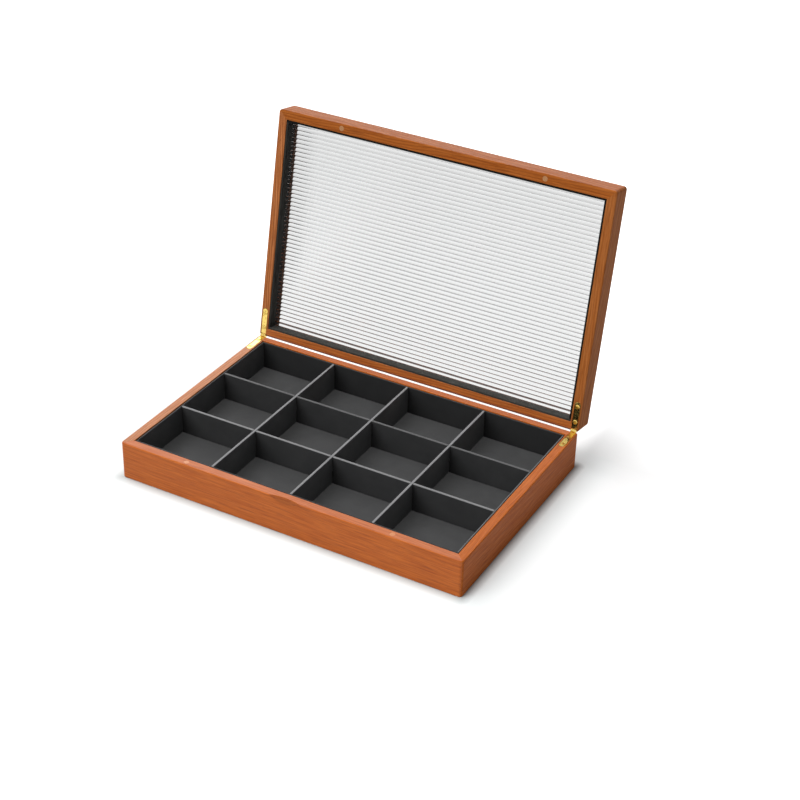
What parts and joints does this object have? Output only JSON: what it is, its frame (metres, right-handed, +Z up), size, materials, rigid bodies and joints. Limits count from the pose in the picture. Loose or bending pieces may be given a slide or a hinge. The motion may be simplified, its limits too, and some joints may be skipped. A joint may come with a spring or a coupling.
{
  "type": "display box",
  "caption": "Wooden display box standing open: a hinged lid with a reeded clear panel over a lined tray of open square cells, with a finger scoop at the front.",
  "frame": {"origin": "middle of the flat underside of the base, on the surface it stands on", "axes": "+Z up; +X to the right along the front, parallel to the hinge pins; +Y to the rear, where the hinges are"},
  "size_m": [0.35, 0.2961, 0.2658],
  "materials": {
    "frame_wood": "satin lacquered hardwood with fine straight grain",
    "panel_wood": "sanded board, matt",
    "plug_wood": "flush turned plug, satin",
    "tray_velvet": "short-pile velvet, dark grey",
    "lid_velvet": "short-pile velvet, near black",
    "reeded_clear": "clear with straight reeds",
    "polished_brass": "polished",
    "magnet_steel": "plated disc"
  },
  "bodies": {
    "base": {"base_front_rail": "frame_wood", "base_back_rail": "frame_wood", "base_left_rail": "frame_wood", "base_right_rail": "frame_wood", "base_bottom_panel": "panel_wood", "tray_floor_board": "tray_velvet", "tray_lining_front": "tray_velvet", "tray_lining_back": "tray_velvet", "tray_lining_left": "tray_velvet", "tray_lining_right": "tray_velvet", "divider_short_1": "tray_velvet", "divider_short_2": "tray_velvet", "divider_short_3": "tray_velvet", "divider_long_1": "tray_velvet", "divider_long_2": "tray_velvet", "base_magnets": "magnet_steel", "base_magnet_plugs": "plug_wood", "hinge_base_leaf_left": "polished_brass", "hinge_base_leaf_right": "polished_brass", "hinge_pin_left": "polished_brass", "hinge_pin_right": "polished_brass", "base_hinge_screws": "polished_brass"},
    "lid": {"lid_front_rail": "frame_wood", "lid_back_rail": "frame_wood", "lid_left_rail": "frame_wood", "lid_right_rail": "frame_wood", "lid_reeded_panel": "reeded_clear", "lid_lining_front": "lid_velvet", "lid_lining_back": "lid_velvet", "lid_lining_left": "lid_velvet", "lid_lining_right": "lid_velvet", "lid_magnets": "magnet_steel", "lid_magnet_plugs": "plug_wood", "hinge_lid_leaf_left": "polished_brass", "hinge_lid_leaf_right": "polished_brass", "lid_hinge_screws": "polished_brass"}
  },
  "joints": [
    {"name": "lid_hinge", "type": "hinge", "parent": "base", "child": "lid", "pos_m": [0, 0.115, 0.0386], "axis": [1, 0, 0], "range_deg": [0, 100.5]}
  ]
}
